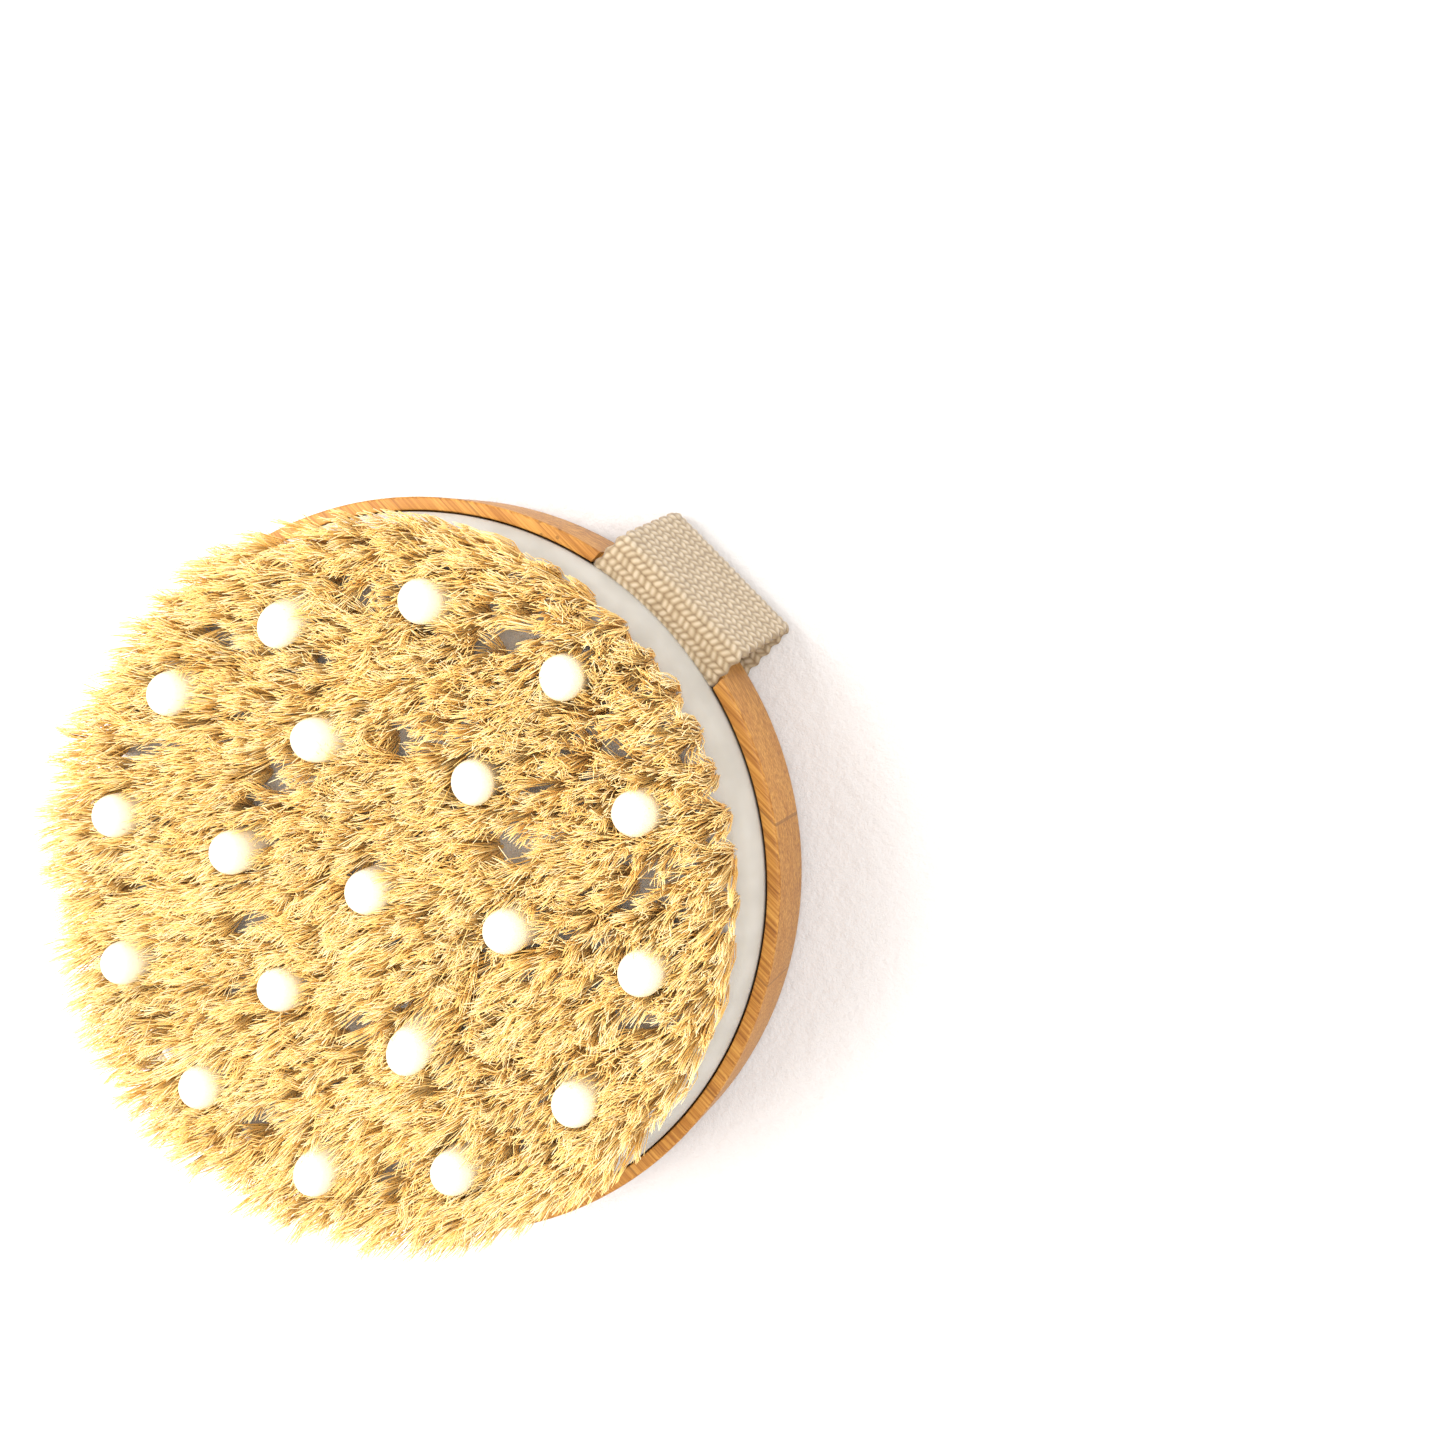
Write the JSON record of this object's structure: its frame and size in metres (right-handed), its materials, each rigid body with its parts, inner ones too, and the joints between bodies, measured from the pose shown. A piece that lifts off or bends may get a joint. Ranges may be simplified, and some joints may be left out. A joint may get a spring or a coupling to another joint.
{
  "type": "body dry brush",
  "caption": "Round bamboo dry body brush with a domed cushion of bristle tufts, soft massage nodules and a woven hand strap across the back.",
  "frame": {"origin": "centre of the underside, on the surface that the brush lies on with its bristles up", "axes": "+X along the hand strap, +Y across it, +Z from the back towards the bristle tips"},
  "size_m": [0.1424, 0.125, 0.0428],
  "materials": {
    "bamboo": "satin",
    "foam": "matte",
    "plate_plastic": "matte",
    "milky_rubber": "satin",
    "nodule_rubber": "satin",
    "bristle": "matte",
    "steel_wire": "satin",
    "cotton_webbing": "matte"
  },
  "bodies": {
    "brush": {"bamboo_body": "bamboo", "bedding_sheet": "foam", "tuft_plate": "plate_plastic", "cushion_pad": "milky_rubber", "tuft_anchors": "steel_wire", "bristle_ring_1": "bristle", "bristle_ring_2": "bristle", "bristle_ring_3": "bristle", "bristle_ring_4": "bristle", "bristle_ring_5": "bristle", "bristle_ring_6": "bristle", "bristle_ring_7": "bristle", "bristle_ring_8": "bristle", "bristle_ring_9": "bristle", "bristle_ring_10": "bristle", "massage_nodule_01": "nodule_rubber", "massage_nodule_02": "nodule_rubber", "massage_nodule_03": "nodule_rubber", "massage_nodule_04": "nodule_rubber", "massage_nodule_05": "nodule_rubber", "massage_nodule_06": "nodule_rubber", "massage_nodule_07": "nodule_rubber", "massage_nodule_08": "nodule_rubber", "massage_nodule_09": "nodule_rubber", "massage_nodule_10": "nodule_rubber", "massage_nodule_11": "nodule_rubber", "massage_nodule_12": "nodule_rubber", "massage_nodule_13": "nodule_rubber", "massage_nodule_14": "nodule_rubber", "massage_nodule_15": "nodule_rubber", "massage_nodule_16": "nodule_rubber", "massage_nodule_17": "nodule_rubber", "massage_nodule_18": "nodule_rubber", "massage_nodule_19": "nodule_rubber", "strap_staples_right": "steel_wire", "strap_staples_left": "steel_wire", "strap_end_right": "cotton_webbing", "strap_end_left": "cotton_webbing"},
    "strap_middle": {"strap_span": "cotton_webbing"}
  },
  "joints": [
    {"name": "strap_lift", "type": "slide", "parent": "brush", "child": "strap_middle", "axis": [0, 0, -1], "range_m": [0, 0.024], "deforming": ["strap_end_right", "strap_end_left"]}
  ]
}
